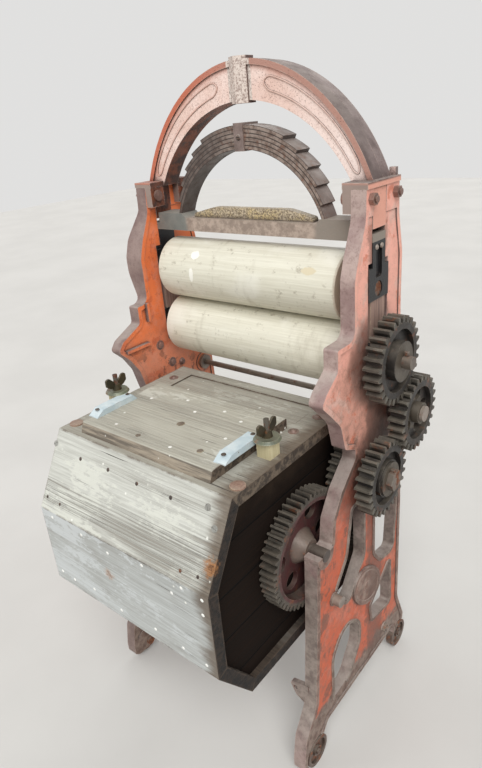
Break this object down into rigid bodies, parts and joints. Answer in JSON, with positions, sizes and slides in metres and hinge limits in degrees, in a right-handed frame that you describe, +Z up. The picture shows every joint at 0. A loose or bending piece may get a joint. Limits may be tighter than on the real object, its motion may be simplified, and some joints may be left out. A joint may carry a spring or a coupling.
{
  "type": "clothes mangle",
  "caption": "Victorian-style clothes mangle: wooden rollers under a sprung beam and arch, in cast frames, geared to a turning wooden washing box on wheels.",
  "frame": {"origin": "middle of the footprint on the floor", "axes": "+X along the rollers towards the gear side, +Y to the back, +Z up"},
  "size_m": [0.7716, 0.754, 1.654],
  "materials": {
    "frame_paint": "old orange paint over cast iron, flanges worn to grey",
    "arch_paint": "faded salmon paint over cast iron",
    "dark_iron": "greasy dark cast iron",
    "drum_gear_iron": "dark cast iron with a maroon painted web",
    "steel": "dull turned steel",
    "spring_steel": "grey-brown oxidised spring steel",
    "beam_iron": "weathered iron with speckled rust",
    "roller_wood": "scrubbed pale wood",
    "box_wood": "weathered grey wood",
    "panel_wood": "damp dark wood",
    "packing_wood": "beige wooden packing",
    "clamp_paint": "chipped pale blue paint",
    "washer_iron": "greenish grey iron",
    "nut_brass": "dark tarnished bronze",
    "wheel_iron": "rusty cast iron"
  },
  "bodies": {
    "stand": {"right_end_frame": "frame_paint", "left_end_frame": "frame_paint", "crown_arch": "arch_paint", "stop_peg": "steel", "stay_rod": "steel", "lower_stay": "steel", "right_lower_bearing": "dark_iron", "left_lower_bearing": "dark_iron", "right_packing": "packing_wood", "left_packing": "packing_wood", "right_arch_bolt_front": "steel", "left_arch_bolt_front": "steel", "right_arch_bolt_rear": "steel", "left_arch_bolt_rear": "steel"},
    "carriage": {"pressure_beam": "beam_iron", "spring_buckle": "spring_steel", "spring_leaf_1": "spring_steel", "spring_leaf_2": "spring_steel", "spring_leaf_3": "spring_steel", "spring_leaf_4": "spring_steel", "spring_leaf_5": "spring_steel", "spring_leaf_6": "spring_steel", "right_upper_bearing": "dark_iron", "left_upper_bearing": "dark_iron"},
    "upper_roller": {"upper_roller": "roller_wood", "upper_roller_shaft": "steel"},
    "lower_roller": {"lower_roller": "roller_wood", "lower_roller_shaft": "steel", "roller_gear": "dark_iron"},
    "idler": {"idler_gear": "dark_iron"},
    "drive": {"drive_shaft": "steel", "drive_gear": "dark_iron", "drum_pinion": "dark_iron"},
    "drum": {"drum_gear": "drum_gear_iron", "box_top": "box_wood", "right_trunnion": "steel", "left_trunnion": "steel", "box_front_upper": "box_wood", "box_front_middle": "box_wood", "box_front_lower": "box_wood", "box_bottom": "box_wood", "box_rear_lower": "box_wood", "box_rear_middle": "box_wood", "box_rear_upper": "box_wood", "right_end_panel": "panel_wood", "left_end_panel": "panel_wood", "right_clamp_post": "packing_wood", "left_clamp_post": "packing_wood"},
    "lid": {"lid": "box_wood", "right_clamp_bar": "clamp_paint", "left_clamp_bar": "clamp_paint"},
    "right_washer": {"right_clamp_washer": "washer_iron"},
    "left_washer": {"left_clamp_washer": "washer_iron"},
    "right_wing_nut": {"right_wing_nut": "nut_brass"},
    "left_wing_nut": {"left_wing_nut": "nut_brass"},
    "right_front_wheel": {"right_front_wheel": "wheel_iron"},
    "right_rear_wheel": {"right_rear_wheel": "wheel_iron"},
    "left_front_wheel": {"left_front_wheel": "wheel_iron"},
    "left_rear_wheel": {"left_rear_wheel": "wheel_iron"}
  },
  "joints": [
    {"name": "drum_spin", "type": "hinge", "parent": "stand", "child": "drum", "pos_m": [-0.0298, -0.069, 0.633], "axis": [1, 0, 0], "continuous": true},
    {"name": "drive_spin", "type": "hinge", "parent": "stand", "child": "drive", "pos_m": [-0.0298, 0.13253, 0.74016], "axis": [1, 0, 0], "continuous": true},
    {"name": "idler_spin", "type": "hinge", "parent": "stand", "child": "idler", "pos_m": [-0.0298, 0.26128, 0.85869], "axis": [1, 0, 0], "continuous": true},
    {"name": "lower_roller_spin", "type": "hinge", "parent": "stand", "child": "lower_roller", "pos_m": [-0.0298, 0.177, 1.02], "axis": [1, 0, 0], "continuous": true},
    {"name": "carriage_lift", "type": "slide", "parent": "stand", "child": "carriage", "axis": [0, 0, 1], "range_m": [0, 0.01]},
    {"name": "upper_roller_spin", "type": "hinge", "parent": "carriage", "child": "upper_roller", "pos_m": [-0.0298, 0.177, 1.1784], "axis": [1, 0, 0], "continuous": true},
    {"name": "lid_lift", "type": "slide", "parent": "drum", "child": "lid", "axis": [0, 0, 1], "range_m": [0, 0.012]},
    {"name": "right_washer_lift", "type": "slide", "parent": "drum", "child": "right_washer", "axis": [0, 0, 1], "range_m": [0, 0.012]},
    {"name": "left_washer_lift", "type": "slide", "parent": "drum", "child": "left_washer", "axis": [0, 0, 1], "range_m": [0, 0.012]},
    {"name": "right_wing_nut_spin", "type": "hinge", "parent": "right_washer", "child": "right_wing_nut", "pos_m": [0.2062, -0.122, 0.929], "axis": [0, 0, 1], "continuous": true},
    {"name": "left_wing_nut_spin", "type": "hinge", "parent": "left_washer", "child": "left_wing_nut", "pos_m": [-0.2658, -0.122, 0.929], "axis": [0, 0, 1], "continuous": true},
    {"name": "right_front_wheel_spin", "type": "hinge", "parent": "stand", "child": "right_front_wheel", "pos_m": [0.2992, -0.127, 0.042], "axis": [1, 0, 0], "continuous": true},
    {"name": "right_rear_wheel_spin", "type": "hinge", "parent": "stand", "child": "right_rear_wheel", "pos_m": [0.2992, 0.335, 0.042], "axis": [1, 0, 0], "continuous": true},
    {"name": "left_front_wheel_spin", "type": "hinge", "parent": "stand", "child": "left_front_wheel", "pos_m": [-0.3588, -0.127, 0.042], "axis": [1, 0, 0], "continuous": true},
    {"name": "left_rear_wheel_spin", "type": "hinge", "parent": "stand", "child": "left_rear_wheel", "pos_m": [-0.3588, 0.335, 0.042], "axis": [1, 0, 0], "continuous": true}
  ],
  "couplings": [
    {"joint": "drive_spin", "follows": "drum_spin", "ratio": -1.5152},
    {"joint": "idler_spin", "follows": "drum_spin", "ratio": 1.5152},
    {"joint": "lower_roller_spin", "follows": "drum_spin", "ratio": -1.4029},
    {"joint": "upper_roller_spin", "follows": "drum_spin", "ratio": 1.4029},
    {"joint": "right_washer_lift", "follows": "lid_lift", "ratio": 1},
    {"joint": "left_washer_lift", "follows": "lid_lift", "ratio": 1}
  ]
}
